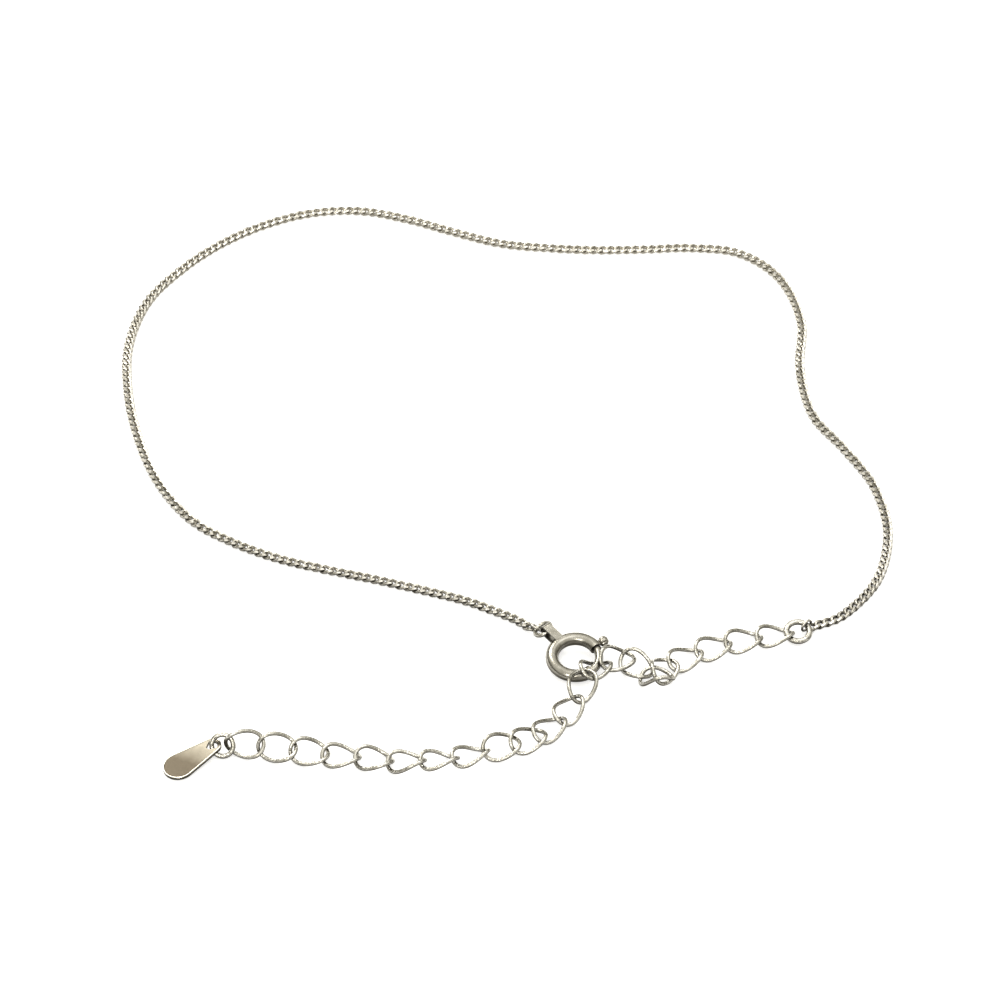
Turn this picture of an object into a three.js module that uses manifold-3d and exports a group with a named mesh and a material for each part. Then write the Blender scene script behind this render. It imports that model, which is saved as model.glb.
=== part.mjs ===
// A fine chain anklet: a curb chain, a spring ring with its tab and jump ring, a round end ring,
// an extender of open twisted links and a small drop tag on a jump ring.
// Lengths are millimetres and angles are degrees. It lies on the plane z = 0, with +Z up.

import * as THREE from 'three';
import { mergeVertices } from 'three/addons/utils/BufferGeometryUtils.js';
import Module from 'manifold-3d';

const wasm = await Module();
wasm.setup();

// Main chain: the outside of its links, and the distance between two sections of the solid.
const chainWidth = 0.86;
const chainThickness = 0.6;
const chainSectionStep = 2.5;

// Eyes: the last link at each end of the main chain, which holds a ring.
const eyeRadius = 0.56;
const eyeWire = 0.24;

// Extender links, measured outside; the twist is how far each quarter leaves the link's plane.
const linkLength = 3.8;
const linkWidth = 2.83;
const linkWire = 0.38;
const linkTwist = 0.4;

// End ring between the main chain and the extender.
const endRingOutside = 2.7;
const endRingWire = 0.56;

// Spring ring: outside size, tube, wall, and how it leans with its far side up.
const springRingOutside = 5.5;
const springRingTube = 1.2;
const springRingWall = 0.14;
const springRingLean = 8;
const springRingHeight = 0.95;

// The gap that the gate closes, as angles on the ring, and the gate that slides in the tube.
const gapStart = -50;
const gapEnd = 28;
const gateClearance = 0.08;
const gateEngagement = 6;
const gateTail = 24;
const gateTravel = 58;

// Thumb knob on the gate, and the neck that runs in the tube's slot.
const knobAngle = 36;
const knobSize = 0.95;
const knobReach = 0.42;
const neckWire = 0.28;
const slotClearance = 0.06;

// Folded tab on the spring ring.
const tabAngle = 129;
const tabWidth = 0.8;
const tabSheet = 0.14;
const tabReach = 1.85;

// Jump ring in the tab.
const claspJumpOutside = 2.0;
const claspJumpWire = 0.4;

// Drop tag: big end, small end, distance between their centres, hole, sheet and rounded rim.
const tagBigEnd = 2.94;
const tagSmallEnd = 1.72;
const tagCentres = 3.6;
const tagHole = 1;
const tagSheet = 0.36;
const tagRim = 0.09;

// Jump ring of the tag.
const tagJumpOutside = 2.42;
const tagJumpWire = 0.46;

// How finely round things are divided.
const chainSides = 8;
const linkSegments = 16;
const linkSides = 6;
const ringSegments = 24;
const ringSides = 8;
const tubeSegments = 36;
const tubeSides = 12;

// The main chain's route on the floor, from the clasp round the far side to the end ring.
const chainRoute = [
  [1.0, -16.5], [-3.1, -14.3], [-7.5, -12.7], [-11.8, -11.3], [-16.2, -10.0], [-20.6, -8.5],
  [-24.9, -6.3], [-29.0, -3.1], [-32.2, 1.9], [-34.4, 8.0], [-35.8, 14.9], [-36.1, 22.0],
  [-34.6, 28.6], [-31.4, 33.7], [-27.6, 37.7], [-23.3, 40.7], [-18.7, 42.5], [-13.9, 42.8],
  [-9.2, 41.5], [-4.6, 39.5], [0.1, 37.7], [4.8, 37.0], [9.6, 36.7], [14.3, 36.8],
  [19.1, 37.0], [23.8, 36.1], [27.6, 32.2], [29.4, 25.7], [29.0, 18.6], [30.0, 11.8],
  [32.9, 6.7], [35.4, 1.4], [36.3, -5.0], [35.0, -11.4], [31.7, -16.1],
];

// The extender's route: where each link lies, from the tag to the end ring. The lift is the air
// under the link's lowest point; yaw turns it on the floor, pitch dips its nose, roll leans it.
const extenderRoute = [
  { x: -22.9, y: -34.15, lift: 0.02, yaw: -4, pitch: 4, roll: 64 },
  { x: -20, y: -34.4, lift: 0.02, yaw: -6, pitch: 4, roll: 41 },
  { x: -17.1, y: -34.7, lift: 0.06, yaw: -5, pitch: 6, roll: 22 },
  { x: -14.25, y: -35, lift: 0.06, yaw: -4, pitch: 1, roll: 2 },
  { x: -11.3, y: -35.3, lift: 0, yaw: -8, pitch: 2, roll: 2 },
  { x: -8.4, y: -35.75, lift: 0.04, yaw: -4, pitch: -8, roll: -6 },
  { x: -5.45, y: -35.65, lift: 0.08, yaw: 5, pitch: -1, roll: -14 },
  { x: -2.65, y: -34.9, lift: 0, yaw: 20, pitch: -1, roll: -10 },
  { x: 0.1, y: -34, lift: 0, yaw: 20, pitch: 0, roll: 22 },
  { x: 2.5, y: -32.95, lift: 0, yaw: 30, pitch: 1, roll: 12 },
  { x: 4.45, y: -31.4, lift: 0, yaw: 46, pitch: -1, roll: 0 },
  { x: 6.2, y: -29.05, lift: 0.04, yaw: 62, pitch: -5, roll: -1 },
  { x: 7.4, y: -26.4, lift: 0.04, yaw: 67, pitch: -13, roll: 22 },
  { x: 8.65, y: -24.05, lift: 0.1, yaw: 49, pitch: 19, roll: -2 },
  { x: 10.65, y: -22.7, lift: 0.32, yaw: 24, pitch: 16, roll: 17 },
  { x: 12.4, y: -23.3, lift: 0.08, yaw: -47, pitch: 8, roll: 15 },
  { x: 14.2, y: -25.15, lift: 0.04, yaw: -34, pitch: -23, roll: -9 },
  { x: 14.85, y: -24.1, lift: 0.22, yaw: 64, pitch: 12, roll: 25 },
  { x: 16.9, y: -22.25, lift: 0.07, yaw: 34, pitch: 2, roll: 3 },
  { x: 19.5, y: -20.85, lift: 0, yaw: 24, pitch: 0, roll: 4 },
  { x: 22.3, y: -19.9, lift: 0.02, yaw: 15, pitch: 0, roll: 3 },
  { x: 25.2, y: -19.25, lift: 0, yaw: 11, pitch: 0, roll: -5 },
];

// Where the rings lie, and where the chain's eyes hang on them. A ring or an eye faces the
// direction given by the azimuth and the elevation of its axis.
const springRingPlace = { x: 6.9, y: -22.5, z: springRingHeight };
const claspJumpPlace = { x: 3.95, y: -18.88, z: 1.05, azimuth: 170, elevation: 61 };
const claspEyePlace = { x: 3.3, y: -18.31, z: 0.76, azimuth: 41, elevation: 44 };
const endRingPlace = { x: 27.35, y: -18.8, z: 0.68, azimuth: -90, elevation: 78 };
const endEyePlace = { x: 28.15, y: -18.1, z: 0.78, azimuth: 133, elevation: 4 };
const tagJumpPlace = { x: -24.9, y: -34.05, z: 1.03, azimuth: -100, elevation: 38 };
const tagPlace = { x: -25.85, y: -34, z: 0.88, yaw: 36, pitch: -8 };

const whiteGold = (name, color, roughness) => {
  const material = new THREE.MeshStandardMaterial({ color, roughness, metalness: 1 });
  material.name = name;
  return material;
};
const chainMetal = whiteGold('chain', 0xb9b4a6, 0.3);
const extenderMetal = whiteGold('extender', 0xd2cec2, 0.22);
const fittingMetal = whiteGold('fittings', 0xc4bfb2, 0.25);
const tagMetal = whiteGold('tag', 0xb0a396, 0.3);

const radians = THREE.MathUtils.degToRad;

// A closed geometry as a solid that can be joined and cut.
function toSolid(geometry) {
  const bare = geometry.clone();
  bare.deleteAttribute('normal');
  bare.deleteAttribute('uv');
  const merged = mergeVertices(bare, 1e-5);
  return new wasm.Manifold(new wasm.Mesh({
    numProp: 3,
    vertProperties: new Float32Array(merged.attributes.position.array),
    triVerts: new Uint32Array(merged.index.array),
  }));
}

// A solid back as a geometry.
function toGeometry(solid) {
  const mesh = solid.getMesh();
  const geometry = new THREE.BufferGeometry();
  geometry.setAttribute('position', new THREE.BufferAttribute(mesh.vertProperties, 3));
  geometry.setIndex(new THREE.BufferAttribute(mesh.triVerts, 1));
  geometry.computeVertexNormals();
  return geometry;
}

function namedMesh(name, geometry, material) {
  const mesh = new THREE.Mesh(geometry, material);
  mesh.name = name;
  return mesh;
}

// An arc in the XY plane round the origin.
class ArcPath extends THREE.Curve {
  constructor(radius, start, end) {
    super();
    this.radius = radius;
    this.start = radians(start);
    this.end = radians(end);
  }

  getPoint(t, target = new THREE.Vector3()) {
    const angle = THREE.MathUtils.lerp(this.start, this.end, t);
    return target.set(this.radius * Math.cos(angle), this.radius * Math.sin(angle), 0);
  }
}

// The middle line of a twisted curb link: an ellipse whose four quarters leave its plane.
class LinkPath extends THREE.Curve {
  getPoint(t, target = new THREE.Vector3()) {
    const turn = 2 * Math.PI * t;
    const x = (linkLength - linkWire) / 2 * Math.cos(turn);
    const y = (linkWidth - linkWire) / 2 * Math.sin(turn);
    return target.set(x, y, -linkTwist * Math.sin(2 * turn));
  }
}

// A round section for extrusion along a path.
function roundSection(radius, sides) {
  const shape = new THREE.Shape();
  for (let i = 0; i < sides; i += 1) {
    const angle = 2 * Math.PI * (i + 0.5) / sides;
    shape[i ? 'lineTo' : 'moveTo'](radius * Math.cos(angle), radius * Math.sin(angle));
  }
  shape.closePath();
  return shape;
}

function sweep(shape, path, steps) {
  return new THREE.ExtrudeGeometry(shape, { steps, bevelEnabled: false, extrudePath: path });
}

// Turns a ring from facing +Z to facing an azimuth and an elevation, and puts it in its place.
function faceRing(object, place) {
  object.rotation.set(0, radians(90 - place.elevation), radians(place.azimuth), 'ZYX');
  object.position.set(place.x, place.y, place.z);
  return object;
}

function makeWireRing(name, outside, wire, place) {
  const geometry = new THREE.TorusGeometry((outside - wire) / 2, wire / 2, ringSides, ringSegments);
  return faceRing(namedMesh(name, geometry, fittingMetal), place);
}

// The chain's section: an octagon as wide and as thick as the chain, with a flat underside.
function chainOutline() {
  const halfThickness = chainThickness / 2;
  const halfWidth = chainWidth / 2;
  const corner = Math.tan(Math.PI / chainSides);
  const points = [
    [halfThickness, -halfWidth * corner], [halfThickness, halfWidth * corner],
    [halfThickness * corner, halfWidth], [-halfThickness * corner, halfWidth],
    [-halfThickness, halfWidth * corner], [-halfThickness, -halfWidth * corner],
    [-halfThickness * corner, -halfWidth], [halfThickness * corner, -halfWidth],
  ];
  return new THREE.Shape(points.map(([x, y]) => new THREE.Vector2(x, y)));
}

// Where the chain's body starts behind an eye: on the eye's wire, on the side of the route.
function besideEye(place, [x, y]) {
  const away = new THREE.Vector2(x - place.x, y - place.y).setLength(0.72 * eyeRadius);
  return [place.x + away.x, place.y + away.y];
}

function makeChainPath() {
  const points = [
    besideEye(claspEyePlace, chainRoute[0]),
    ...chainRoute,
    besideEye(endEyePlace, chainRoute.at(-1)),
  ];
  const path = new THREE.CatmullRomCurve3(
    points.map(([x, y]) => new THREE.Vector3(x, y, chainThickness / 2)),
  );
  path.arcLengthDivisions = 40 * points.length;
  return path;
}

function makeEye(place) {
  const geometry = new THREE.TorusGeometry(eyeRadius, eyeWire / 2, linkSides, linkSegments);
  const eye = faceRing(new THREE.Object3D(), place);
  eye.updateMatrix();
  return toSolid(geometry.applyMatrix4(eye.matrix));
}

function makeMainChain() {
  const path = makeChainPath();
  const steps = Math.round(path.getLength() / chainSectionStep);
  const body = toSolid(sweep(chainOutline(), path, steps));
  const whole = body.add(makeEye(claspEyePlace)).add(makeEye(endEyePlace));
  return namedMesh('main_chain', toGeometry(whole), chainMetal);
}

// One extender link, turned as its row says and set down on the floor.
function makeLink(row, index) {
  const geometry = new THREE.TubeGeometry(new LinkPath(), linkSegments, linkWire / 2, linkSides, true);
  const name = `extender_link_${String(index + 1).padStart(2, '0')}`;
  const link = namedMesh(name, geometry, extenderMetal);
  link.rotation.set(radians(row.roll), radians(row.pitch), radians(row.yaw), 'ZYX');
  link.updateMatrix();
  const lowest = new THREE.Box3().setFromObject(link, true).min.z;
  link.position.set(row.x, row.y, row.lift - lowest);
  return link;
}

// The spring ring lies in a leaning frame of its own, with the ring in that frame's XY plane.
const springRingRadius = (springRingOutside - springRingTube) / 2;
const hollowRadius = springRingTube / 2 - springRingWall;
const gateRadius = hollowRadius - gateClearance;

function makeSpringRingFrame() {
  const frame = new THREE.Group();
  frame.position.set(springRingPlace.x, springRingPlace.y, springRingPlace.z);
  frame.rotation.x = radians(springRingLean);
  return frame;
}

function makeTube() {
  const outer = sweep(
    roundSection(springRingTube / 2, tubeSides),
    new ArcPath(springRingRadius, gapEnd, 360 + gapStart),
    tubeSegments,
  );
  const hollow = sweep(
    roundSection(hollowRadius, tubeSides),
    new ArcPath(springRingRadius, gapEnd - 2, 362 + gapStart),
    tubeSegments,
  );
  return toSolid(outer).subtract(toSolid(hollow));
}

// The slot in the outside of the tube that the knob's neck slides along.
function makeSlot() {
  const halfWidth = neckWire / 2 + slotClearance;
  const neckAngle = THREE.MathUtils.radToDeg(halfWidth / springRingRadius);
  const shape = new THREE.Shape([
    new THREE.Vector2(-halfWidth, 0),
    new THREE.Vector2(halfWidth, 0),
    new THREE.Vector2(halfWidth, -springRingTube),
    new THREE.Vector2(-halfWidth, -springRingTube),
  ]);
  const path = new ArcPath(springRingRadius, gapEnd - 2, knobAngle + gateTravel + neckAngle);
  return toSolid(sweep(shape, path, ringSegments));
}

// A strip folded round the jump ring, its two legs soldered above and below the tube.
function makeTab() {
  const half = springRingTube / 2;
  const start = springRingRadius + springRingWall;
  const bend = springRingOutside / 2 + tabReach - half;
  const shape = new THREE.Shape();
  shape.moveTo(start, half);
  shape.lineTo(bend, half);
  shape.absarc(bend, 0, half, Math.PI / 2, -Math.PI / 2, true);
  shape.lineTo(start, -half);
  shape.lineTo(start, tabSheet - half);
  shape.lineTo(bend, tabSheet - half);
  shape.absarc(bend, 0, half - tabSheet, -Math.PI / 2, Math.PI / 2, false);
  shape.lineTo(start, half - tabSheet);
  shape.closePath();
  const geometry = new THREE.ExtrudeGeometry(shape, {
    depth: tabWidth,
    bevelEnabled: false,
    curveSegments: ringSides,
  });
  geometry.translate(0, 0, -tabWidth / 2);
  geometry.rotateX(Math.PI / 2);
  geometry.rotateZ(radians(tabAngle));
  return toSolid(geometry);
}

function makeSpringRing() {
  const solid = makeTube().subtract(makeSlot()).add(makeTab());
  return namedMesh('spring_ring', toGeometry(solid), fittingMetal);
}

// The gate: a bent pin that closes the gap, with the thumb knob on its neck.
function makeGateLever() {
  const pin = sweep(
    roundSection(gateRadius, tubeSides),
    new ArcPath(springRingRadius, gapStart - gateEngagement, gapEnd + gateTail),
    ringSegments,
  );
  const knobCentre = springRingOutside / 2 + knobReach;
  const neckLength = knobCentre - springRingRadius;
  const neck = new THREE.CylinderGeometry(neckWire / 2, neckWire / 2, neckLength, linkSides);
  neck.rotateZ(-Math.PI / 2);
  neck.translate(springRingRadius + neckLength / 2, 0, 0);
  neck.rotateZ(radians(knobAngle));
  const knob = new THREE.SphereGeometry(knobSize / 2, tubeSides, ringSides);
  knob.translate(knobCentre, 0, 0);
  knob.rotateZ(radians(knobAngle));
  const solid = toSolid(pin).add(toSolid(neck)).add(toSolid(knob));
  return namedMesh('gate_lever', toGeometry(solid), fittingMetal);
}

// The tag's outline with its big end at the origin and its small end along +X.
function tagOutline() {
  const big = tagBigEnd / 2 - tagRim;
  const small = tagSmallEnd / 2 - tagRim;
  const lean = Math.acos((big - small) / tagCentres);
  const shape = new THREE.Shape();
  shape.absarc(0, 0, big, lean, 2 * Math.PI - lean, false);
  shape.absarc(tagCentres, 0, small, -lean, lean, false);
  shape.closePath();
  const hole = new THREE.Path();
  hole.absarc(tagCentres, 0, tagHole / 2 + tagRim, 0, 2 * Math.PI, true);
  shape.holes.push(hole);
  return shape;
}

function makeDropTag() {
  const geometry = new THREE.ExtrudeGeometry(tagOutline(), {
    depth: tagSheet - 2 * tagRim,
    bevelEnabled: true,
    bevelSize: tagRim,
    bevelThickness: tagRim,
    bevelSegments: 1,
    curveSegments: tubeSides,
  });
  geometry.translate(-tagCentres, 0, tagRim - tagSheet / 2);
  const tag = namedMesh('drop_tag', geometry, tagMetal);
  tag.rotation.set(0, radians(tagPlace.pitch), radians(tagPlace.yaw), 'ZYX');
  tag.position.set(tagPlace.x, tagPlace.y, tagPlace.z);
  return tag;
}

// The anklet, moved so that its origin is under the middle of its box.
function makeAnklet() {
  const anklet = new THREE.Group();
  anklet.name = 'chain_anklet';
  const springRingFrame = makeSpringRingFrame();
  springRingFrame.add(makeSpringRing(), makeGateLever());
  anklet.add(
    makeMainChain(),
    makeWireRing('clasp_jump_ring', claspJumpOutside, claspJumpWire, claspJumpPlace),
    springRingFrame,
    makeWireRing('end_ring', endRingOutside, endRingWire, endRingPlace),
    ...extenderRoute.map(makeLink),
    makeWireRing('tag_jump_ring', tagJumpOutside, tagJumpWire, tagJumpPlace),
    makeDropTag(),
  );
  anklet.updateMatrixWorld(true);
  const box = new THREE.Box3().setFromObject(anklet, true);
  const middle = box.getCenter(new THREE.Vector3());
  anklet.position.set(-middle.x, -middle.y, -box.min.z);
  anklet.updateMatrixWorld(true);
  return anklet;
}

export default makeAnklet();
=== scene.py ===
import math

import bpy
import numpy as np
from mathutils import Euler, Matrix, Vector


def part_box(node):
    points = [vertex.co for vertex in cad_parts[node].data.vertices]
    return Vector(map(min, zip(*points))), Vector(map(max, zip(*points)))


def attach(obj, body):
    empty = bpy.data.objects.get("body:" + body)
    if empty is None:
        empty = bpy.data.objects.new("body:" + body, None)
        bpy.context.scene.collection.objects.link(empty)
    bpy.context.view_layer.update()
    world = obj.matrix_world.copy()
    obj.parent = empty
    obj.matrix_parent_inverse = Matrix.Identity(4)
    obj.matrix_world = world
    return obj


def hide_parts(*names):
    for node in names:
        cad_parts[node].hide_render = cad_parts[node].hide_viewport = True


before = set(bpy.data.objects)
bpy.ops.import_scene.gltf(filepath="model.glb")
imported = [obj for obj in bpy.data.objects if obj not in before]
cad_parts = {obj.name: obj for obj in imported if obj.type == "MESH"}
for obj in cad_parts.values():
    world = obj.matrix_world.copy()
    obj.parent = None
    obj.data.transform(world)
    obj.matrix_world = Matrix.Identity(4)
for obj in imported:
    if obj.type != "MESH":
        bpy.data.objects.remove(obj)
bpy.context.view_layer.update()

MM = 0.001

# Sizes of the pieces, in millimetres and degrees, as the solids have them.
CHAIN_THICKNESS = 0.6
EYE_RADIUS = 0.56
EYE_WIRE = 0.24
LINK_LENGTH = 3.8
LINK_WIDTH = 2.83
LINK_WIRE = 0.38
LINK_TWIST = 0.4
END_RING_OUTSIDE = 2.7
END_RING_WIRE = 0.56
SPRING_RING_OUTSIDE = 5.5
SPRING_RING_TUBE = 1.2
SPRING_RING_WALL = 0.14
SPRING_RING_LEAN = 8
GAP_START = -50
GAP_END = 28
GATE_CLEARANCE = 0.08
GATE_ENGAGEMENT = 6
GATE_TAIL = 24
KNOB_ANGLE = 36
KNOB_SIZE = 0.95
KNOB_TRAVEL = 58
KNOB_REACH = 0.42
NECK_WIRE = 0.28
SLOT_CLEARANCE = 0.06
TAB_ANGLE = 129
TAB_WIDTH = 0.8
TAB_SHEET = 0.14
TAB_REACH = 1.85
CLASP_JUMP_OUTSIDE = 2.0
CLASP_JUMP_WIRE = 0.4
TAG_BIG_END = 2.94
TAG_SMALL_END = 1.72
TAG_CENTRES = 3.6
TAG_HOLE = 1.0
TAG_SHEET = 0.36
TAG_RIM = 0.09
TAG_JUMP_OUTSIDE = 2.42
TAG_JUMP_WIRE = 0.46

# The main chain's links, in millimetres: they are made here alone, inside the height of their solid.
CHAIN_PITCH = 0.82
CHAIN_WIRE = 0.33
CHAIN_LINK_WIDTH = 1.0
CHAIN_TWIST = 0.17
CHAIN_CUT = 0.54

# How square a link of the chain is, from 0 for an oval, how far it may roll in degrees, and the
# seed of that roll.
CHAIN_SQUARE = 0.25
CHAIN_SWAY = 4
CHAIN_SEED = 3

# From the wire of an eye to the middle of the chain's first link, in millimetres.
EYE_TO_LINK = 0.22

# The tag's polished border and the step down to its face, in millimetres. Then how far the knob's
# ridges stand out, as a share of its radius, and how many there are.
TAG_BORDER = 0.1
TAG_STEP = 0.05
KNURL = 0.05
KNURL_RIDGES = 12

# How finely the shapes are divided.
CHAIN_LINK_STEPS = 12
CHAIN_LINK_SIDES = 6
CHAIN_ROUTE_STEPS = 12
LINK_STEPS = 96
LINK_SIDES = 16
RING_STEPS = 64
RING_SIDES = 20
TUBE_SIDES = 36
TUBE_STATIONS = 90
SLOT_STATIONS = 20
TAB_BEND_STEPS = 16
PIN_STEPS = 60
PIN_SIDES = 24
NECK_SIDES = 12
KNOB_RINGS = 16
KNOB_SIDES = 48
TAG_BIG_STEPS = 48
TAG_SMALL_STEPS = 32

# The angle round the clasp over which the knob's slot closes at its end, and the angle above which
# an edge stays sharp, in degrees.
SLOT_CLOSES = 0.2
SHARP_ANGLE = 38

# How far up a surface faces where painted shade starts to darken its finish, and where that painted
# shade is darkest.
PAINTED_SHADE_FROM = 0.7
PAINTED_SHADE_TO = 0

# The heights in millimetres between which painted shade darkens the gaps of the main chain, darkest
# at the lower one.
CHAIN_DEEP = 0.44
CHAIN_DEEPEST = 0.26

# The depth of the whole anklet, over which the colour of the painted shade on the sides may change,
# in millimetres.
NEAR_TO_FAR = 80

# How much rougher the sides are, and how much less rough the tag's border is than its face.
SIDE_ROUGHER = 0.1
BORDER_SMOOTHER = 0.2

# How many blotches, worn patches, specks and dents the finishes have to a metre.
BLOTCHES = 1100
PATCHES = 2600
TAG_BLOTCHES = 700
TAG_GRAIN = 5000
TAG_DENTS = 9000

# How strongly dents catch the light, and how much closer and how deep the finest ones are,
# compared with the others.
DENT_STRENGTH = 0.6
TAG_DENT_STRENGTH = 0.5
FINEST_CLOSER = 3
FINEST_DEPTH = 0.4

# How much the brown of the tag leans across it, to a metre, and how much it is blotched.
TAG_SLANT = 120
TAG_BLOTCHING = 0.3

# Colours of the metal. The olive and the chain's far sides are painted shade, where a surface turns
# to the side or down and in the chain's gaps.
SHADE_OLIVE = (0.035, 0.03, 0.021)
CHAIN_BRIGHT = (0.97, 0.94, 0.87)
CHAIN_DULL = (0.78, 0.75, 0.67)
CHAIN_FAR_PAINTED_SHADE = (0.30, 0.28, 0.235)
WIRE_BRIGHT = (0.90, 0.88, 0.81)
WIRE_DULL = (0.62, 0.60, 0.53)
CLASP_BRIGHT = (0.58, 0.56, 0.50)
CLASP_DULL = (0.42, 0.40, 0.345)
TAG_POLISHED = (0.55, 0.53, 0.47)
TAG_CREAM = (0.38, 0.35, 0.285)
TAG_BROWN = (0.13, 0.11, 0.082)

# What the metal mirrors, from the horizon and all below it to straight overhead. Then how many
# soft patches it has to a unit of direction, and how far they shift its heights.
STUDIO_STOPS = (
    (0.0, (0.08, 0.07, 0.05)),
    (0.3, (0.12, 0.11, 0.09)),
    (0.48, (0.40, 0.39, 0.34)),
    (0.64, (0.80, 0.78, 0.71)),
    (0.85, (0.86, 0.84, 0.78)),
)
STUDIO_PATCHES = 2.2
STUDIO_PATCHING = 0.9

# The lamps: where each stands and how wide and deep it is, in metres, then its power in watts and
# its colour. All of them face the middle of the floor.
LAMP_COLUMNS = ("name", "place", "size", "power", "colour")
LAMPS = [
    ("Key", (-0.22, 0.3, 0.42), (0.22, 0.22), 0.9, (1, 0.97, 0.9)),
    ("Near", (-0.1, -0.42, 0.3), (0.2, 0.14), 0.6, (1, 0.97, 0.9)),
    ("Top", (0.12, 0.02, 0.5), (0.3, 0.3), 0.35, (1, 1, 1)),
]

# The floor's half width and how far it is below the anklet, in metres, and its glow.
FLOOR_REACH = 1.2
FLOOR_DROP = 0.00001
FLOOR_GLOW = 0.6

# The camera: its elevation in degrees, its distance from the middle in metres, and its lens and
# sensor in millimetres.
CAMERA_ELEVATION = 42
CAMERA_DISTANCE = 0.532
CAMERA_LENS = 203
CAMERA_SENSOR = 36

# The main chain's route on the floor, from the clasp round the far side to the end ring, in metres.
CHAIN_ROUTE = [
    (0.0010, -0.0165), (-0.0031, -0.0143), (-0.0075, -0.0127), (-0.0118, -0.0113),
    (-0.0162, -0.0100), (-0.0206, -0.0085), (-0.0249, -0.0063), (-0.0290, -0.0031),
    (-0.0322, 0.0019), (-0.0344, 0.0080), (-0.0358, 0.0149), (-0.0361, 0.0220),
    (-0.0346, 0.0286), (-0.0314, 0.0337), (-0.0276, 0.0377), (-0.0233, 0.0407),
    (-0.0187, 0.0425), (-0.0139, 0.0428), (-0.0092, 0.0415), (-0.0046, 0.0395),
    (0.0001, 0.0377), (0.0048, 0.0370), (0.0096, 0.0367), (0.0143, 0.0368),
    (0.0191, 0.0370), (0.0238, 0.0361), (0.0276, 0.0322), (0.0294, 0.0257),
    (0.0290, 0.0186), (0.0300, 0.0118), (0.0329, 0.0067), (0.0354, 0.0014),
    (0.0363, -0.0050), (0.0350, -0.0114), (0.0317, -0.0161),
]

# Each extender link from the tag to the end ring: x, y and the air under it in metres, then yaw,
# pitch and roll in degrees.
EXTENDER_COLUMNS = ("x", "y", "lift", "yaw", "pitch", "roll")
EXTENDER_ROUTE = [
    (-0.0229, -0.03415, 0.00002, -4, 4, 64),
    (-0.02, -0.0344, 0.00002, -6, 4, 41),
    (-0.0171, -0.0347, 0.00006, -5, 6, 22),
    (-0.01425, -0.035, 0.00006, -4, 1, 2),
    (-0.0113, -0.0353, 0, -8, 2, 2),
    (-0.0084, -0.03575, 0.00004, -4, -8, -6),
    (-0.00545, -0.03565, 0.00008, 5, -1, -14),
    (-0.00265, -0.0349, 0, 20, -1, -10),
    (0.0001, -0.034, 0, 20, 0, 22),
    (0.0025, -0.03295, 0, 30, 1, 12),
    (0.00445, -0.0314, 0, 46, -1, 0),
    (0.0062, -0.02905, 0.00004, 62, -5, -1),
    (0.0074, -0.0264, 0.00004, 67, -13, 22),
    (0.00865, -0.02405, 0.0001, 49, 19, -2),
    (0.01065, -0.0227, 0.00032, 24, 16, 17),
    (0.0124, -0.0233, 0.00008, -47, 8, 15),
    (0.0142, -0.02515, 0.00004, -34, -23, -9),
    (0.01485, -0.0241, 0.00022, 64, 12, 25),
    (0.0169, -0.02225, 0.00007, 34, 2, 3),
    (0.0195, -0.02085, 0, 24, 0, 4),
    (0.0223, -0.0199, 0.00002, 15, 0, 3),
    (0.0252, -0.01925, 0, 11, 0, -5),
]

# Places of the rings, the chain's eyes and the tag: x, y, z in metres, then the direction that
# the ring faces (azimuth and elevation), or for the tag its yaw and pitch.
SPRING_RING_PLACE = (0.0069, -0.0225, 0.00095)
CLASP_JUMP_PLACE = (0.00395, -0.01888, 0.00105, 170, 61)
CLASP_EYE_PLACE = (0.0033, -0.01831, 0.00076, 41, 44)
END_RING_PLACE = (0.02735, -0.0188, 0.00068, -90, 78)
END_EYE_PLACE = (0.02815, -0.0181, 0.00078, 133, 4)
TAG_JUMP_PLACE = (-0.0249, -0.03405, 0.00103, -100, 38)
TAG_PLACE = (-0.02585, -0.034, 0.00088, 36, -8)

# The plain rings: the name of the piece and of its node, then its sizes and its place.
RINGS = [
    ("jump_ring_of_clasp", "clasp_jump_ring", CLASP_JUMP_OUTSIDE, CLASP_JUMP_WIRE, CLASP_JUMP_PLACE),
    ("ring_of_end", "end_ring", END_RING_OUTSIDE, END_RING_WIRE, END_RING_PLACE),
    ("jump_ring_of_tag", "tag_jump_ring", TAG_JUMP_OUTSIDE, TAG_JUMP_WIRE, TAG_JUMP_PLACE),
]

# The solids are centred on their box, so the places above move by the same step. The end ring's
# own box says how far.
low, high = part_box("end_ring")
STEP = (low + high) / 2 - Vector(END_RING_PLACE[:3])
STEP.z = 0


def at(place):
    return Vector(place[:3]) + STEP


def facing(place):
    """The matrix that turns a ring from facing up to facing its azimuth and elevation."""
    turn = Euler((0, math.radians(90 - place[4]), math.radians(place[3])), "XYZ")
    return Matrix.Translation(at(place)) @ turn.to_matrix().to_4x4()


# Nodes of any kind.


class Value:
    """What a node gives, so that the maths of nodes reads as ordinary sums."""

    def __init__(self, nodes, socket):
        self.nodes = nodes
        self.socket = socket

    def maths(self, operation, first, second):
        return self.nodes.node("ShaderNodeMath", {"operation": operation}, {0: first, 1: second})

    def __add__(self, other):
        return self.maths("ADD", self, other)

    def __sub__(self, other):
        return self.maths("SUBTRACT", self, other)

    def __rsub__(self, other):
        return self.maths("SUBTRACT", other, self)

    def __mul__(self, other):
        return self.maths("MULTIPLY", self, other)

    def at_most(self, other):
        return self.maths("MINIMUM", self, other)

    def at_least(self, other):
        return self.maths("MAXIMUM", self, other)

    __radd__ = __add__
    __rmul__ = __mul__


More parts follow.
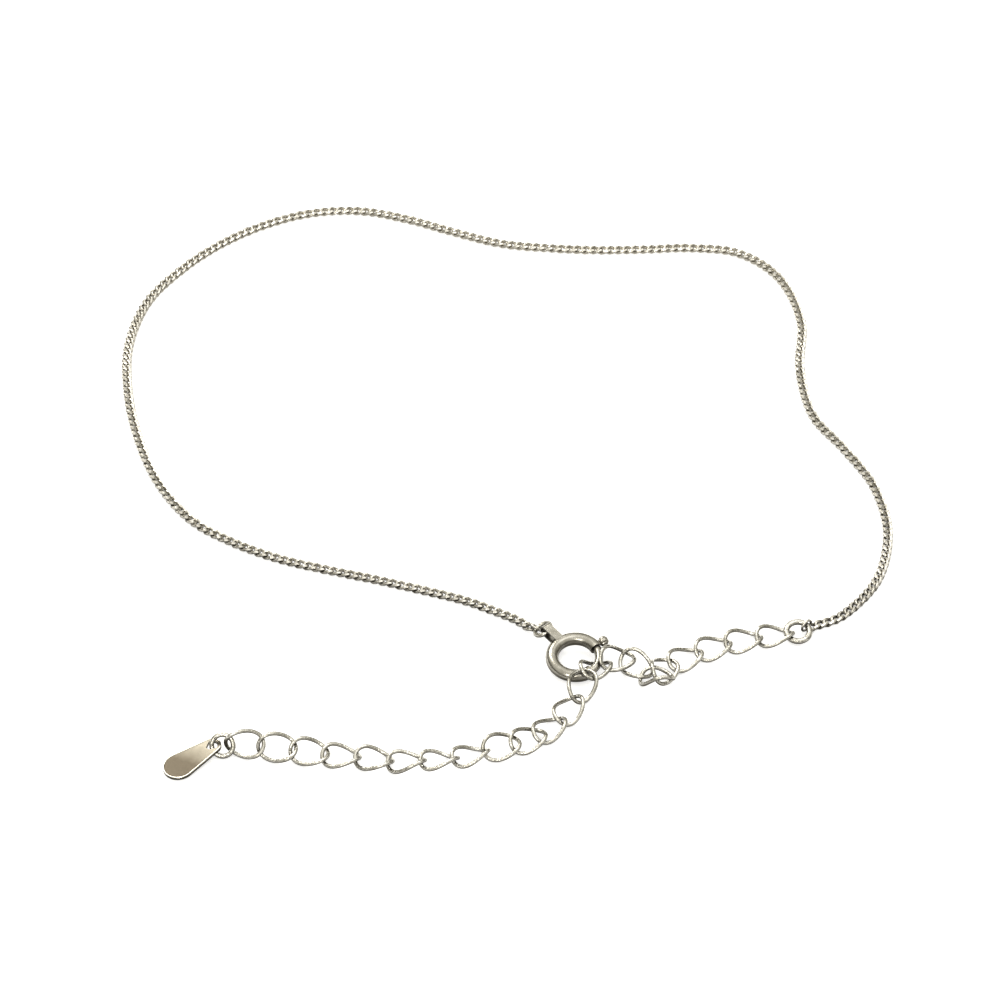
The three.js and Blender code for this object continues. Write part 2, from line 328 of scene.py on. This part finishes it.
class Nodes:
    """A node tree that is built from calls."""

    def __init__(self, tree):
        self.tree = tree

    def node(self, kind, settings=None, sockets=None, output=0):
        node = self.tree.nodes.new(kind)
        for name, value in (settings or {}).items():
            if name == "stops":
                set_stops(node.color_ramp, value)
            else:
                setattr(node, name, value)
        for name, value in (sockets or {}).items():
            self.feed(node.inputs[name], value)
        return Value(self, node.outputs[output])

    def feed(self, slot, value):
        if isinstance(value, Value):
            self.tree.links.new(value.socket, slot)
        else:
            slot.default_value = value

    def parts(self, vector):
        """The x, y and z of a vector."""
        split = self.node("ShaderNodeSeparateXYZ", sockets={0: vector})
        return [Value(self, socket) for socket in split.socket.node.outputs]

    def vector(self, x, y, z):
        return self.node("ShaderNodeCombineXYZ", sockets={"X": x, "Y": y, "Z": z})

    def noise(self, place, scale, detail=2.0):
        return self.node("ShaderNodeTexNoise", sockets={
            "Vector": place, "Scale": scale, "Detail": detail})

    def ramp(self, value, *stops):
        return self.node("ShaderNodeValToRGB", {"stops": stops}, {"Fac": value})


def set_stops(ramp, stops):
    while len(ramp.elements) < len(stops):
        ramp.elements.new(0.5)
    for element, (position, colour) in zip(ramp.elements, stops):
        element.position = position
        element.color = (*colour, 1)


# Finishes.


class Finish(Nodes):
    """A material that is built from calls. Its shader takes the results."""

    def __init__(self, name):
        self.material = bpy.data.materials.new(name)
        self.material.use_nodes = True
        super().__init__(self.material.node_tree)
        self.shader = self.tree.nodes["Principled BSDF"]

    def shade(self, sockets):
        for name, value in sockets.items():
            self.feed(self.shader.inputs[name], value)

    def mix(self, share, first, second):
        return self.node("ShaderNodeMix", {"data_type": "RGBA"}, {0: share, 6: first, 7: second},
                         output=2)

    def attribute(self, name):
        return self.node("ShaderNodeAttribute", {"attribute_name": name}, output="Fac")

    def bump(self, height, strength, distance):
        return self.node("ShaderNodeBump", sockets={
            "Height": height, "Strength": strength, "Distance": distance})


def white_gold(name, bright, dull, sides, far_painted_shade, gloss, wear, dent, dent_scale):
    """White gold: its colour drifts, and fine dents catch the light.

    Painted shade darkens it round its sides and underneath, in a shade colour that changes from the
    near to the far side.
    """
    finish = Finish(name)
    place = finish.node("ShaderNodeTexCoord", output="Object")
    drift = finish.ramp(finish.noise(place, BLOTCHES, detail=3), (0.35, dull), (0.65, bright))
    # Painted shade colour: dark on the near side, lighter on the far side along the anklet's depth.
    depth = finish.parts(place)[1] * (1 / (NEAR_TO_FAR * MM)) + 0.5
    edge = finish.ramp(depth, (0.25, sides), (0.85, far_painted_shade))
    # Painted shade: this mask turns the colour towards the shade colour where a surface faces
    # sideways or down, or lies deep in the chain's gaps.
    shade = finish.attribute("side")
    worn = finish.noise(place, PATCHES) * wear + shade * SIDE_ROUGHER
    finest = finish.noise(place, dent_scale * FINEST_CLOSER, detail=1) * FINEST_DEPTH
    dents = finish.noise(place, dent_scale) + finest
    finish.shade({
        "Metallic": 1,
        "Base Color": finish.mix(shade, drift, edge),
        "Roughness": worn + (gloss - wear / 2),
        "Normal": finish.bump(dents, DENT_STRENGTH, dent),
    })
    return finish.material


def tag_gold(name, polished, near_hole, far_end, sides, gloss, grain, dent):
    """The tag: a polished border, and a satin face, cream by the hole and brown at the big end, with
    painted shade where it turns to the side or down.
    """
    finish = Finish(name)
    place = finish.node("ShaderNodeTexCoord", output="Object")
    x, y, _ = finish.parts(place)
    hole = at(TAG_PLACE)
    turn = math.radians(TAG_PLACE[3])
    along = (x - hole.x) * math.cos(turn) + (y - hole.y) * math.sin(turn)
    across = (y - hole.y) * math.cos(turn) - (x - hole.x) * math.sin(turn)
    share = along * (-1 / (TAG_CENTRES * MM)) - across * TAG_SLANT
    blotched = share + finish.noise(place, TAG_BLOTCHES, detail=3) * TAG_BLOTCHING
    face = finish.ramp(blotched, (0.25, near_hole), (0.95, far_end))
    satin = finish.attribute("satin")
    plate = finish.mix(satin, (*polished, 1), face)
    rough = finish.noise(place, TAG_GRAIN) * grain + (gloss - grain / 2)
    dents = finish.noise(place, TAG_DENTS, detail=3)
    finish.shade({
        "Metallic": 1,
        # Painted shade: the side mask darkens the tag towards the olive shade colour.
        "Base Color": finish.mix(finish.attribute("side"), plate, (*sides, 1)),
        "Roughness": rough - (1 - satin) * BORDER_SMOOTHER,
        "Normal": finish.bump(dents, TAG_DENT_STRENGTH, dent),
    })
    return finish.material


# Meshes.


def shade_sides(mesh, faceted, painted_gap_shade=None):
    """Notes on each corner how much painted shade it gets, from how far its surface turns to the side
    or down.

    Between two given heights, if any, a corner also gets painted shade that deepens towards the lower
    one.
    """
    count = len(mesh.loops)
    if faceted:
        normals = np.empty(3 * len(mesh.polygons))
        mesh.polygons.foreach_get("normal", normals)
        sizes = np.empty(len(mesh.polygons), int)
        mesh.polygons.foreach_get("loop_total", sizes)
        upward = np.repeat(normals[2::3], sizes)
    else:
        normals = np.empty(3 * count)
        mesh.corner_normals.foreach_get("vector", normals)
        upward = normals[2::3]
    # Painted shade: 0 where the surface faces up, rising to 1 where it turns to the side or down.
    side = np.clip((PAINTED_SHADE_FROM - upward) / (PAINTED_SHADE_FROM - PAINTED_SHADE_TO), 0, 1)
    # Painted shade in the gaps: corners below the upper height darken towards the lower one.
    if painted_gap_shade:
        places = np.empty(3 * len(mesh.vertices))
        mesh.vertices.foreach_get("co", places)
        corners = np.empty(count, int)
        mesh.loops.foreach_get("vertex_index", corners)
        height = places[2::3][corners] / MM
        side = np.maximum(side, np.clip((painted_gap_shade[0] - height) / (painted_gap_shade[0] - painted_gap_shade[1]), 0, 1))
    mesh.attributes.new("side", "FLOAT", "CORNER").data.foreach_set("value", side)


def finish_piece(name, mesh, material, nodes, body, faceted=False, painted_gap_shade=None):
    """A finished piece: at the origin, riding its body, standing for its CAD nodes."""
    mesh.name = name
    mesh.materials.clear()
    mesh.materials.append(material)
    mesh.polygons.foreach_set("use_smooth", [not faceted] * len(mesh.polygons))
    if not faceted:
        mesh.set_sharp_from_angle(angle=math.radians(SHARP_ANGLE))
    shade_sides(mesh, faceted, painted_gap_shade)
    piece = bpy.data.objects.new(name, mesh)
    bpy.context.scene.collection.objects.link(piece)
    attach(piece, body)
    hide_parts(*nodes)
    return piece


def mesh_of(points, faces):
    mesh = bpy.data.meshes.new("shape")
    mesh.from_pydata([tuple(p) for p in points], [], faces)
    mesh.update()
    return mesh


def joined(*parts):
    """Several meshes as one."""
    points = []
    faces = []
    for part in parts:
        start = len(points)
        points += [tuple(v.co) for v in part.vertices]
        faces += [[start + i for i in f.vertices] for f in part.polygons]
    return mesh_of(points, faces)


def swept(centres, section, closed):
    """A section swept along points that lie in one plane, facing along +Z of that plane."""
    count = len(centres)
    sides = len(section)
    points = []
    for i, centre in enumerate(centres):
        ahead = centres[(i + 1) % count] if closed or i < count - 1 else centre
        behind = centres[i - 1] if closed or i > 0 else centre
        along = (ahead - behind).normalized()
        out = along.cross(Vector((0, 0, 1))).normalized()
        up = out.cross(along)
        points += [centre + out * u + up * v for u, v in section]
    faces = []
    for i in range(count if closed else count - 1):
        j = (i + 1) % count
        for k in range(sides):
            m = (k + 1) % sides
            faces.append((i * sides + k, i * sides + m, j * sides + m, j * sides + k))
    if not closed:
        faces.append(tuple(reversed(range(sides))))
        faces.append(tuple((count - 1) * sides + k for k in range(sides)))
    return mesh_of(points, faces)


def round_section(radius, sides):
    turns = [2 * math.pi * k / sides for k in range(sides)]
    return [(radius * math.cos(t), -radius * math.sin(t)) for t in turns]


def arc(radius, start, end, steps):
    angles = np.radians(np.linspace(start, end, steps + 1))
    return [Vector((radius * math.cos(a), radius * math.sin(a), 0)) for a in angles]


def wire_ring(outside, wire):
    centres = arc((outside - wire) / 2 * MM, 0, 360, RING_STEPS)[:-1]
    return swept(centres, round_section(wire / 2 * MM, RING_SIDES), True)


# Links, made by geometry nodes.


class Shape(Nodes):
    """A geometry node tree that is built from calls, with its sizes as named inputs."""

    def __init__(self, name):
        super().__init__(bpy.data.node_groups.new(name, "GeometryNodeTree"))
        self.start = self.tree.nodes.new("NodeGroupInput")

    def size(self, name, kind="NodeSocketFloat"):
        self.tree.interface.new_socket(name, in_out="INPUT", socket_type=kind)
        return Value(self, self.start.outputs[name])

    def circle(self, radius, steps):
        return self.node("GeometryNodeCurvePrimitiveCircle", {"mode": "RADIUS"},
                         {"Resolution": steps, "Radius": radius})

    def moved(self, geometry, x, y, z):
        return self.node("GeometryNodeSetPosition", sockets={
            "Geometry": geometry, "Position": self.vector(x, y, z)})

    def placed(self, points, link, turn, metal):
        """A link on each point, turned and made solid in its metal, as the tree's result."""
        links = self.node("GeometryNodeInstanceOnPoints", sockets={
            "Points": points, "Instance": link, "Rotation": turn})
        solid = self.node("GeometryNodeRealizeInstances", sockets={"Geometry": links})
        result = self.node("GeometryNodeSetMaterial", sockets={"Geometry": solid, "Material": metal})
        self.tree.interface.new_socket("Geometry", in_out="OUTPUT",
                                       socket_type="NodeSocketGeometry")
        end = self.tree.nodes.new("NodeGroupOutput")
        self.feed(end.inputs[0], result)
        return self.tree


def link_shape(shape, length, width, wire, twist, square, steps, sides):
    """A twisted curb link: an oval wire whose four quarters leave its plane.

    The more square it is, the straighter its long sides.
    """
    x, y, _ = shape.parts(shape.node("GeometryNodeInputPosition"))
    half_length = (length - wire) * 0.5
    half_width = (width - wire) * 0.5
    fuller = y * (x * x * square + 1)
    rise = x * y * (twist * -2)
    bent = shape.moved(shape.circle(1, steps), x * half_length, fuller * half_width, rise)
    return shape.node("GeometryNodeCurveToMesh", sockets={
        "Curve": bent, "Profile Curve": shape.circle(wire * 0.5, sides)})


def flattened(shape, link, half):
    """The link's faces cut flat at a height above and below its plane, as a cutter leaves them."""
    x, y, z = shape.parts(shape.node("GeometryNodeInputPosition"))
    return shape.moved(link, x, y, z.at_most(half).at_least(half * -1))


def evaluated(name, start, tree, values):
    """Runs a tree on a starting mesh or curve and returns the plain mesh that it makes."""
    holder = bpy.data.objects.new(name, start)
    bpy.context.scene.collection.objects.link(holder)
    modifier = holder.modifiers.new(name, "NODES")
    modifier.node_group = tree
    sockets = {s.name: s.identifier for s in tree.interface.items_tree if s.in_out == "INPUT"}
    for key, value in values.items():
        modifier[sockets[key]] = value
    graph = bpy.context.evaluated_depsgraph_get()
    mesh = bpy.data.meshes.new_from_object(holder.evaluated_get(graph))
    holder.modifiers.remove(modifier)
    bpy.data.objects.remove(holder)
    return mesh


def curb_chain_tree():
    shape = Shape("Curb chain")
    route = shape.size("Geometry", "NodeSocketGeometry")
    pitch = shape.size("Pitch")
    length = shape.size("Link length")
    width = shape.size("Link width")
    wire = shape.size("Wire")
    twist = shape.size("Twist")
    square = shape.size("Square")
    cut = shape.size("Cut thickness")
    sway = shape.size("Sway")
    seed = shape.size("Seed", "NodeSocketInt")
    metal = shape.size("Metal", "NodeSocketMaterial")
    link = link_shape(shape, length, width, wire, twist, square, CHAIN_LINK_STEPS, CHAIN_LINK_SIDES)
    link = flattened(shape, link, cut * 0.5)
    path = shape.node("GeometryNodeResampleCurve", {"mode": "LENGTH"},
                      {"Curve": route, "Length": pitch})
    ahead = shape.node("FunctionNodeAlignRotationToVector", {"axis": "X", "pivot_axis": "Z"},
                       {"Vector": shape.node("GeometryNodeInputTangent")})
    roll = shape.node("FunctionNodeRandomValue", {"data_type": "FLOAT"},
                      {2: sway * -1, 3: sway, "Seed": seed}, output=1)
    spin = shape.node("FunctionNodeEulerToRotation", sockets={"Euler": shape.vector(roll, 0, 0)})
    turn = shape.node("FunctionNodeRotateRotation", {"rotation_space": "LOCAL"},
                      {"Rotation": ahead, "Rotate By": spin})
    return shape.placed(path, link, turn, metal)


def open_links_tree():
    shape = Shape("Open links")
    places = shape.size("Geometry", "NodeSocketGeometry")
    length = shape.size("Link length")
    width = shape.size("Link width")
    wire = shape.size("Wire")
    twist = shape.size("Twist")
    metal = shape.size("Metal", "NodeSocketMaterial")
    link = link_shape(shape, length, width, wire, twist, 0, LINK_STEPS, LINK_SIDES)
    angles = shape.node("GeometryNodeInputNamedAttribute", {"data_type": "FLOAT_VECTOR"},
                        {"Name": "turn"})
    turn = shape.node("FunctionNodeEulerToRotation", sockets={"Euler": angles})
    return shape.placed(places, link, turn, metal)


# The main chain.


def smooth_route():
    """The points of the route, starting and ending at the eyes."""
    def beside(place, x, y):
        away = Vector((x - place[0], y - place[1])).normalized() * (EYE_RADIUS + EYE_TO_LINK) * MM
        return place[0] + away.x, place[1] + away.y
    first = beside(CLASP_EYE_PLACE, *CHAIN_ROUTE[0])
    last = beside(END_EYE_PLACE, *CHAIN_ROUTE[-1])
    height = CHAIN_THICKNESS / 2 * MM
    return [Vector((x, y, height)) + STEP for x, y in (first, *CHAIN_ROUTE, last)]


def catmull_rom(points, steps):
    """A smooth line through the points."""
    ends = [points[0] * 2 - points[1], *points, points[-1] * 2 - points[-2]]
    line = []
    for a, b, c, d in zip(ends, ends[1:], ends[2:], ends[3:]):
        for i in range(steps):
            t = i / steps
            line.append(0.5 * (2 * b + (c - a) * t + (2 * a - 5 * b + 4 * c - d) * t * t
                               + (3 * b - a - 3 * c + d) * t * t * t))
    return [*line, points[-1]]


def make_main_chain(metal):
    line = catmull_rom(smooth_route(), CHAIN_ROUTE_STEPS)
    curve = bpy.data.curves.new("Chain route", "CURVE")
    curve.dimensions = "3D"
    spline = curve.splines.new("POLY")
    spline.points.add(len(line) - 1)
    for point, place in zip(spline.points, line):
        point.co = (*place, 1)
    links = evaluated("Main chain", curve, curb_chain_tree(), {
        "Pitch": CHAIN_PITCH * MM,
        "Link length": (CHAIN_PITCH + 2 * CHAIN_WIRE) * MM,
        "Link width": CHAIN_LINK_WIDTH * MM,
        "Wire": CHAIN_WIRE * MM,
        "Twist": CHAIN_TWIST * MM,
        "Square": CHAIN_SQUARE,
        "Cut thickness": CHAIN_CUT * MM,
        "Sway": math.radians(CHAIN_SWAY),
        "Seed": CHAIN_SEED,
        "Metal": metal,
    })
    eyes = []
    for place in (CLASP_EYE_PLACE, END_EYE_PLACE):
        eye = wire_ring(2 * EYE_RADIUS + EYE_WIRE, EYE_WIRE)
        eye.transform(facing(place))
        eyes.append(eye)
    whole = joined(links, *eyes)
    # The chain gets painted shade in its gaps, below the given heights.
    finish_piece("main_chain_links", whole, metal, ["main_chain"], "anklet",
                 faceted=True, painted_gap_shade=(CHAIN_DEEP, CHAIN_DEEPEST))


# The extender.


def seat(turn, lift):
    """The height of a link's middle when its lowest point is that far above the floor."""
    a = np.linspace(0, 2 * math.pi, LINK_STEPS, endpoint=False)
    x = (LINK_LENGTH - LINK_WIRE) / 2 * np.cos(a)
    y = (LINK_WIDTH - LINK_WIRE) / 2 * np.sin(a)
    middle = np.stack([x, y, -LINK_TWIST * np.sin(2 * a)], 1) * MM
    turned = middle @ np.array(turn.to_matrix()).T
    return lift + LINK_WIRE / 2 * MM - turned[:, 2].min()


def make_extender(metal):
    places = bpy.data.meshes.new("Extender places")
    points = []
    turns = []
    for values in EXTENDER_ROUTE:
        row = dict(zip(EXTENDER_COLUMNS, values))
        turn = Euler([math.radians(row[key]) for key in ("roll", "pitch", "yaw")], "XYZ")
        points.append(Vector((row["x"], row["y"], seat(turn, row["lift"]))) + STEP)
        turns += list(turn)
    places.from_pydata(points, [], [])
    places.attributes.new("turn", "FLOAT_VECTOR", "POINT").data.foreach_set("vector", turns)
    links = evaluated("Extender links", places, open_links_tree(), {
        "Link length": LINK_LENGTH * MM,
        "Link width": LINK_WIDTH * MM,
        "Wire": LINK_WIRE * MM,
        "Twist": LINK_TWIST * MM,
        "Metal": metal,
    })
    nodes = [f"extender_link_{i + 1:02d}" for i in range(len(EXTENDER_ROUTE))]
    finish_piece("extender_links", links, metal, nodes, "anklet")


# The plain rings.


def make_rings(metal):
    for name, node, outside, wire, place in RINGS:
        mesh = wire_ring(outside, wire)
        mesh.transform(facing(place))
        finish_piece(name, mesh, metal, [node], "anklet")


# The spring ring.

RING_RADIUS = (SPRING_RING_OUTSIDE - SPRING_RING_TUBE) / 2
LEAN = (Matrix.Translation(at(SPRING_RING_PLACE))
        @ Matrix.Rotation(math.radians(SPRING_RING_LEAN), 4, "X"))


def tube_section(angle, half_slot):
    """A hollow section of the clasp's tube, open on the ring's outside where it has its slot."""
    outer = SPRING_RING_TUBE / 2
    inner = outer - SPRING_RING_WALL
    points = []
    for radius, way in ((outer, 1), (inner, -1)):
        open_by = math.asin(half_slot / radius)
        turns = np.linspace(open_by, 2 * math.pi - open_by, TUBE_SIDES + 1)[::way]
        points += [(RING_RADIUS + radius * math.cos(t), radius * math.sin(t)) for t in turns]
    turn = math.radians(angle)
    return [Vector((x * math.cos(turn), x * math.sin(turn), z)) * MM for x, z in points]


def tube_stations():
    """The angles of the tube's sections with half the width of the slot there, from gap to gap."""
    half_slot = NECK_WIRE / 2 + SLOT_CLEARANCE
    slot_end = KNOB_ANGLE + KNOB_TRAVEL + math.degrees(half_slot / RING_RADIUS)
    stations = [(angle, half_slot) for angle in np.linspace(GAP_END, slot_end, SLOT_STATIONS)]
    rest = np.linspace(slot_end + SLOT_CLOSES, 360 + GAP_START, TUBE_STATIONS)
    return stations + [(angle, 0) for angle in rest]


def make_clasp_tube():
    """The C-shaped tube with its wall, hollow and open at both ends, and the slot for the knob."""
    stations = tube_stations()
    points = []
    for station in stations:
        points += tube_section(*station)
    size = 2 * (TUBE_SIDES + 1)
    faces = []
    for i in range(len(stations) - 1):
        for k in range(size):
            m = (k + 1) % size
            faces.append((i * size + k, (i + 1) * size + k, (i + 1) * size + m, i * size + m))
    last = (len(stations) - 1) * size
    for k in range(TUBE_SIDES):
        quad = (k, k + 1, size - 2 - k, size - 1 - k)
        faces.append(quad)
        faces.append(tuple(last + i for i in reversed(quad)))
    return mesh_of(points, faces)


def tab_outline():
    """The tab seen from its side: a sheet that runs out, folds round and comes back."""
    half = SPRING_RING_TUBE / 2
    inside = half - TAB_SHEET
    start = RING_RADIUS + SPRING_RING_WALL
    bend = SPRING_RING_OUTSIDE / 2 + TAB_REACH - half
    turns = [math.radians(90 - 180 * i / TAB_BEND_STEPS) for i in range(TAB_BEND_STEPS + 1)]
    outer = [(bend + half * math.cos(t), half * math.sin(t)) for t in turns]
    inner = [(bend + inside * math.cos(t), inside * math.sin(t)) for t in reversed(turns)]
    return [(start, half), *outer, (start, -half), (start, -inside), *inner, (start, inside)]


def make_tab():
    outline = tab_outline()
    count = len(outline)
    points = []
    for side in (-1, 1):
        points += [Vector((x, side * TAB_WIDTH / 2, z)) * MM for x, z in outline]
    faces = [(i, (i + 1) % count, count + (i + 1) % count, count + i) for i in range(count)]
    for side, flip in ((0, True), (count, False)):
        for i in range(count // 2 - 1):
            quad = (side + i, side + i + 1, side + count - 2 - i, side + count - 1 - i)
            faces.append(tuple(reversed(quad)) if flip else quad)
    mesh = mesh_of(points, faces)
    mesh.transform(Matrix.Rotation(math.radians(TAB_ANGLE), 4, "Z"))
    return mesh


def make_spring_ring(metal):
    mesh = joined(make_clasp_tube(), make_tab())
    mesh.transform(LEAN)
    finish_piece("spring_ring_body", mesh, metal, ["spring_ring"], "anklet")


def knurled_ball(radius, rings, sides):
    """The thumb knob: a ball with fine ridges from end to end."""
    points = []
    for i in range(1, rings):
        tilt = math.pi * i / rings
        for k in range(sides):
            turn = 2 * math.pi * k / sides
            bulge = radius * (1 + KNURL * math.cos(KNURL_RIDGES * turn) * math.sin(tilt))
            points.append(Vector((math.sin(tilt) * math.cos(turn), math.sin(tilt) * math.sin(turn),
                                  math.cos(tilt))) * bulge)
    top, bottom = len(points), len(points) + 1
    points += [Vector((0, 0, radius)), Vector((0, 0, -radius))]
    faces = []
    for i in range(rings - 2):
        for k in range(sides):
            m = (k + 1) % sides
            faces.append((i * sides + k, (i + 1) * sides + k, (i + 1) * sides + m, i * sides + m))
    last = (rings - 2) * sides
    for k in range(sides):
        m = (k + 1) % sides
        faces.append((top, k, m))
        faces.append((bottom, last + m, last + k))
    return mesh_of(points, faces)


def make_gate(metal):
    """The gate: a pin that slides round inside the tube, with a neck through the slot to its knob."""
    radius = SPRING_RING_TUBE / 2 - SPRING_RING_WALL - GATE_CLEARANCE
    line = arc(RING_RADIUS * MM, GAP_START - GATE_ENGAGEMENT, GAP_END + GATE_TAIL, PIN_STEPS)
    pin = swept(line, round_section(radius * MM, PIN_SIDES), False)
    reach = SPRING_RING_OUTSIDE / 2 + KNOB_REACH
    neck_points = [Vector((x * MM, 0, 0)) for x in (RING_RADIUS, reach)]
    neck = swept(neck_points, round_section(NECK_WIRE / 2 * MM, NECK_SIDES), False)
    knob = knurled_ball(KNOB_SIZE / 2 * MM, KNOB_RINGS, KNOB_SIDES)
    knob.transform(Matrix.Translation((reach * MM, 0, 0)) @ Matrix.Rotation(math.pi / 2, 4, "Y"))
    lever = joined(neck, knob)
    lever.transform(Matrix.Rotation(math.radians(KNOB_ANGLE), 4, "Z"))
    mesh = joined(pin, lever)
    mesh.transform(LEAN)
    finish_piece("gate_of_clasp", mesh, metal, ["gate_lever"], "gate")


# The tag.


def tag_outline(shrink):
    big = TAG_BIG_END / 2 - shrink
    small = TAG_SMALL_END / 2 - shrink
    lean = math.acos((big - small) / TAG_CENTRES)
    turns = np.linspace(lean, 2 * math.pi - lean, TAG_BIG_STEPS + 1)
    points = [(big * math.cos(t) - TAG_CENTRES, big * math.sin(t)) for t in turns]
    turns = np.linspace(-lean, lean, TAG_SMALL_STEPS + 1)
    points += [(small * math.cos(t), small * math.sin(t)) for t in turns]
    return points


def around_hole(points, radius):
    """Points round the hole, each in the direction of a point of the outline."""
    turns = [math.atan2(y, x) for x, y in points]
    return [(radius * math.cos(t), radius * math.sin(t)) for t in turns]


def tag_loops():
    """The tag's loops from the underside round the edge to the hole: outline, height and satin.

    Satin is 1 where the surface from this loop to the next one is the sunk face.
    """
    top = TAG_SHEET / 2
    face = top - TAG_STEP
    edge = tag_outline(0)
    hole = TAG_HOLE / 2
    bevel = TAG_RIM / 2
    return [
        (around_hole(edge, hole + bevel), -top, 0),
        (tag_outline(bevel), -top, 0),
        (edge, bevel - top, 0),
        (edge, top - bevel, 0),
        (tag_outline(bevel), top, 0),
        (tag_outline(TAG_BORDER), top, 0),
        (tag_outline(TAG_BORDER + TAG_STEP), face, 1),
        (around_hole(edge, hole + bevel), face, 0),
        (around_hole(edge, hole), face - bevel, 0),
        (around_hole(edge, hole), bevel - top, 0),
    ]


def make_tag(metal):
    """The tag as a plate with a polished border round its sunk face, and a round hole."""
    loops = tag_loops()
    count = len(loops[0][0])
    points = [Vector((x, y, z)) * MM for outline, z, _ in loops for x, y in outline]
    faces = []
    satin = []
    for i, (_, _, sunk) in enumerate(loops):
        j = (i + 1) % len(loops)
        for k in range(count):
            m = (k + 1) % count
            corners = (i * count + k, i * count + m, j * count + m, j * count + k)
            faces.append(corners)
            satin += [sunk] * len(corners)
    mesh = mesh_of(points, faces)
    mesh.attributes.new("satin", "FLOAT", "CORNER").data.foreach_set("value", satin)
    turn = Euler((0, math.radians(TAG_PLACE[4]), math.radians(TAG_PLACE[3])), "XYZ")
    mesh.transform(Matrix.Translation(at(TAG_PLACE)) @ turn.to_matrix().to_4x4())
    finish_piece("tag_plate", mesh, metal, ["drop_tag"], "anklet")


# Floor, light and camera.


def make_floor():
    corners = [(-1, -1), (1, -1), (1, 1), (-1, 1)]
    mesh = mesh_of([(x * FLOOR_REACH, y * FLOOR_REACH, 0) for x, y in corners], [(0, 1, 2, 3)])
    floor = bpy.data.objects.new("Floor", mesh)
    floor.location.z = -FLOOR_DROP
    bpy.context.scene.collection.objects.link(floor)
    finish = Finish("White surface")
    finish.shade({
        "Base Color": (0.95, 0.95, 0.95, 1),
        "Roughness": 0.9,
        "Specular IOR Level": 0.1,
        "Emission Color": (1, 1, 1, 1),
        "Emission Strength": FLOOR_GLOW,
    })
    mesh.materials.append(finish.material)


def make_studio():
    """A studio that is bright overhead and darker towards the walls, which the metal mirrors."""
    world = bpy.data.worlds.new("Studio")
    world.use_nodes = True
    sky = Nodes(world.node_tree)
    place = sky.node("ShaderNodeTexCoord", output="Generated")
    patches = sky.noise(place, STUDIO_PATCHES, detail=1) * STUDIO_PATCHING
    height = patches + sky.parts(place)[2] - STUDIO_PATCHING / 2
    background = world.node_tree.nodes["Background"]
    sky.feed(background.inputs["Color"], sky.ramp(height, *STUDIO_STOPS))
    sky.feed(background.inputs["Strength"], 1)
    bpy.context.scene.world = world


def make_lamps():
    for values in LAMPS:
        row = dict(zip(LAMP_COLUMNS, values))
        data = bpy.data.lights.new(row["name"], "AREA")
        data.shape = "RECTANGLE"
        data.size, data.size_y = row["size"]
        data.energy = row["power"]
        data.color = row["colour"]
        lamp = bpy.data.objects.new(row["name"], data)
        place = Vector(row["place"])
        lamp.location = place
        lamp.rotation_euler = (-place).to_track_quat("-Z", "Y").to_euler()
        bpy.context.scene.collection.objects.link(lamp)


def make_camera():
    elevation = math.radians(CAMERA_ELEVATION)
    away = CAMERA_DISTANCE * math.cos(elevation)
    height = CAMERA_DISTANCE * math.sin(elevation)
    data = bpy.data.cameras.new("Camera")
    data.sensor_width = CAMERA_SENSOR
    data.lens = CAMERA_LENS
    data.clip_start = 0.01
    data.clip_end = 10
    camera = bpy.data.objects.new("Camera", data)
    camera.location = Vector((0, -away, height)) + STEP
    camera.rotation_euler = (math.pi / 2 - elevation, 0, 0)
    bpy.context.scene.collection.objects.link(camera)
    bpy.context.scene.camera = camera


def main():
    bpy.context.scene.view_settings.view_transform = "Standard"
    chain_metal = white_gold("Chain white gold", CHAIN_BRIGHT, CHAIN_DULL, SHADE_OLIVE, CHAIN_FAR_PAINTED_SHADE,
                             gloss=0.22, wear=0.12, dent=0.00003, dent_scale=6000)
    wire_metal = white_gold("Wire white gold", WIRE_BRIGHT, WIRE_DULL, SHADE_OLIVE, SHADE_OLIVE,
                            gloss=0.24, wear=0.12, dent=0.0001, dent_scale=2600)
    clasp_metal = white_gold("Clasp white gold", CLASP_BRIGHT, CLASP_DULL, SHADE_OLIVE, SHADE_OLIVE,
                             gloss=0.27, wear=0.1, dent=0.00003, dent_scale=2400)
    tag_metal = tag_gold("Tag white gold", TAG_POLISHED, TAG_CREAM, TAG_BROWN, SHADE_OLIVE,
                         gloss=0.42, grain=0.14, dent=0.000004)
    make_main_chain(chain_metal)
    make_extender(wire_metal)
    make_rings(wire_metal)
    make_spring_ring(clasp_metal)
    make_gate(clasp_metal)
    make_tag(tag_metal)
    make_floor()
    make_studio()
    make_lamps()
    make_camera()


main()
